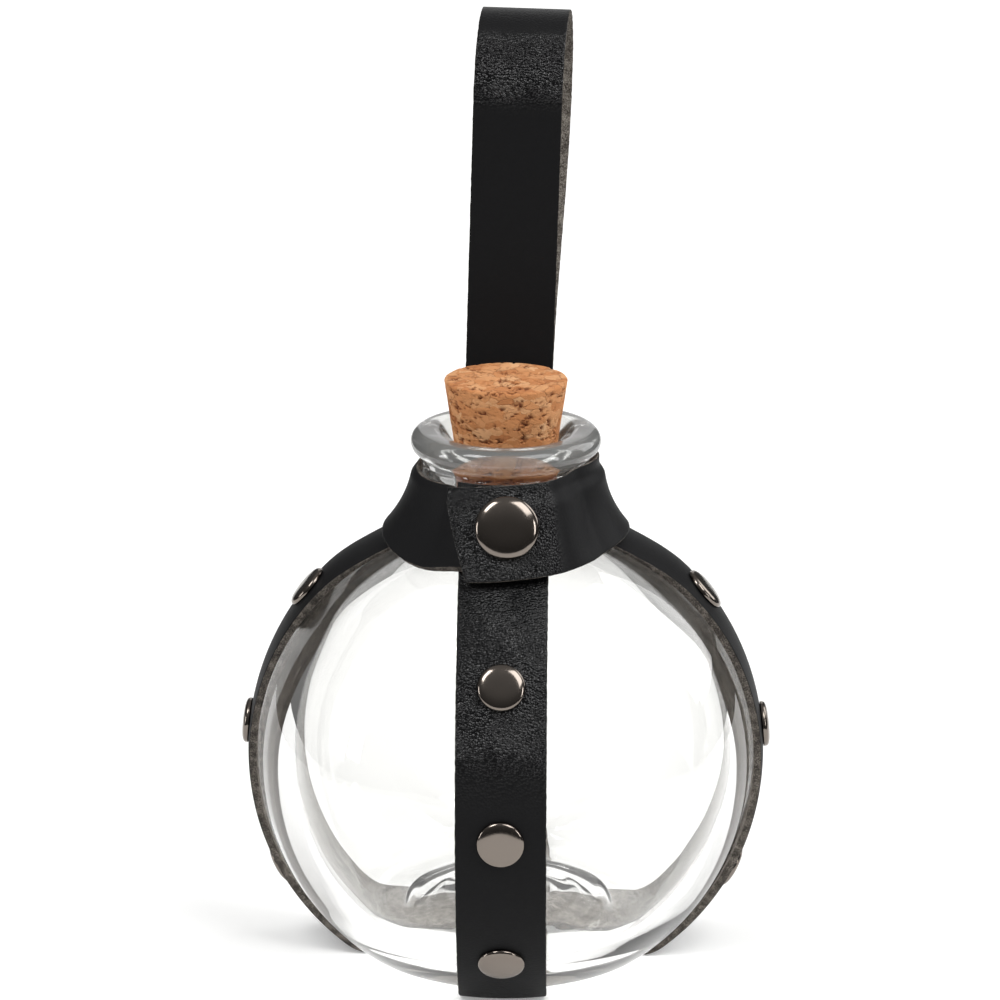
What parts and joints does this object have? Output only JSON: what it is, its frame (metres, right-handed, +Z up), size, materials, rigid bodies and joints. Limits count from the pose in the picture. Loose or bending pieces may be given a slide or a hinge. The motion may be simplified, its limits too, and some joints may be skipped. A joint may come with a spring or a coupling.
{
  "type": "potion bottle",
  "caption": "Round glass bottle with a cork stopper, held in a riveted leather harness with a snap collar and a tall belt loop.",
  "frame": {"origin": "on the bottle's upright axis, at the flat underside of the strap under the foot", "axes": "+Z up along the bottle's axis, -Y towards the front strap and the snap, +X to the right seen from the front"},
  "size_m": [0.0964, 0.0966, 0.1677],
  "materials": {
    "glass": "clear blown glass",
    "cork": "natural cork, unfinished",
    "leather": "pebbled black leather with raw cut edges",
    "gunmetal": "polished gunmetal plating"
  },
  "bodies": {
    "bottle_and_harness": {"bottle": "glass", "collar": "leather", "front_back_strap": "leather", "side_strap": "leather", "rivet_front_1_cap": "gunmetal", "rivet_front_1_back": "gunmetal", "rivet_front_2_cap": "gunmetal", "rivet_front_2_back": "gunmetal", "rivet_front_3_cap": "gunmetal", "rivet_front_3_back": "gunmetal", "rivet_back_1_cap": "gunmetal", "rivet_back_1_back": "gunmetal", "rivet_back_2_cap": "gunmetal", "rivet_back_2_back": "gunmetal", "rivet_back_3_cap": "gunmetal", "rivet_back_3_back": "gunmetal", "rivet_right_1_cap": "gunmetal", "rivet_right_1_back": "gunmetal", "rivet_right_2_cap": "gunmetal", "rivet_right_2_back": "gunmetal", "rivet_right_3_cap": "gunmetal", "rivet_right_3_back": "gunmetal", "rivet_left_1_cap": "gunmetal", "rivet_left_1_back": "gunmetal", "rivet_left_2_cap": "gunmetal", "rivet_left_2_back": "gunmetal", "rivet_left_3_cap": "gunmetal", "rivet_left_3_back": "gunmetal", "snap_stud": "gunmetal", "snap_post": "gunmetal", "loop_front_end": "leather", "loop_back_end": "leather", "loop_rivet_cap": "gunmetal", "loop_rivet_back": "gunmetal"},
    "cork": {"cork": "cork"},
    "collar_flap": {"collar_flap": "leather", "snap_cap": "gunmetal", "snap_socket": "gunmetal"},
    "belt_loop": {"belt_loop": "leather"}
  },
  "joints": [
    {"name": "cork_pull", "type": "slide", "parent": "bottle_and_harness", "child": "cork", "axis": [0, 0, 1], "range_m": [0, 0.03]},
    {"name": "collar_flap_open", "type": "hinge", "parent": "bottle_and_harness", "child": "collar_flap", "pos_m": [0.01253, -0.01725, 0.08637], "axis": [-0.2495, 0.3435, 0.9054], "range_deg": [0, 75]},
    {"name": "belt_loop_flex", "type": "hinge", "parent": "bottle_and_harness", "child": "belt_loop", "pos_m": [0, 0.01896, 0.09566], "axis": [1, 0, 0], "range_deg": [-30, 8], "stiffness_Nm_per_rad": 0.03}
  ]
}
